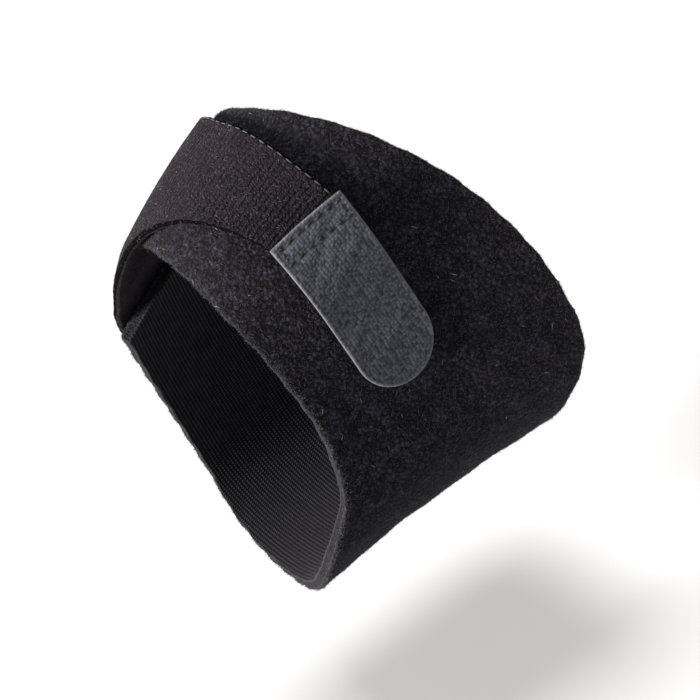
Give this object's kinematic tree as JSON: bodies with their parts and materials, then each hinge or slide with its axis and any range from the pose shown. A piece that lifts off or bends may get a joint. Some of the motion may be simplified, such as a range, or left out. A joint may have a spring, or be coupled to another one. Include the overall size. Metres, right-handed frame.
{
  "type": "arch support sleeve",
  "caption": "Foam arch band with a stretch strap over the instep and a rounded hook tab, in its worn form and open where the foot goes.",
  "frame": {"origin": "middle of the hollow that the foot fills, half way between sole and instep", "axes": "+X towards the heel, -X towards the toes, -Y to the inner side of a right foot, +Z from the sole up to the instep"},
  "size_m": [0.0728, 0.0744, 0.0949],
  "materials": {
    "band_cloth": "bluish black brushed loop knit on foam",
    "strap_knit": "dark grey stretch knit with fine ribs across",
    "tab_hook": "slate grey hook tape, matt"
  },
  "bodies": {
    "root": {"wrap_band": "band_cloth", "instep_strap": "strap_knit", "hook_tab": "tab_hook"}
  },
  "joints": []
}
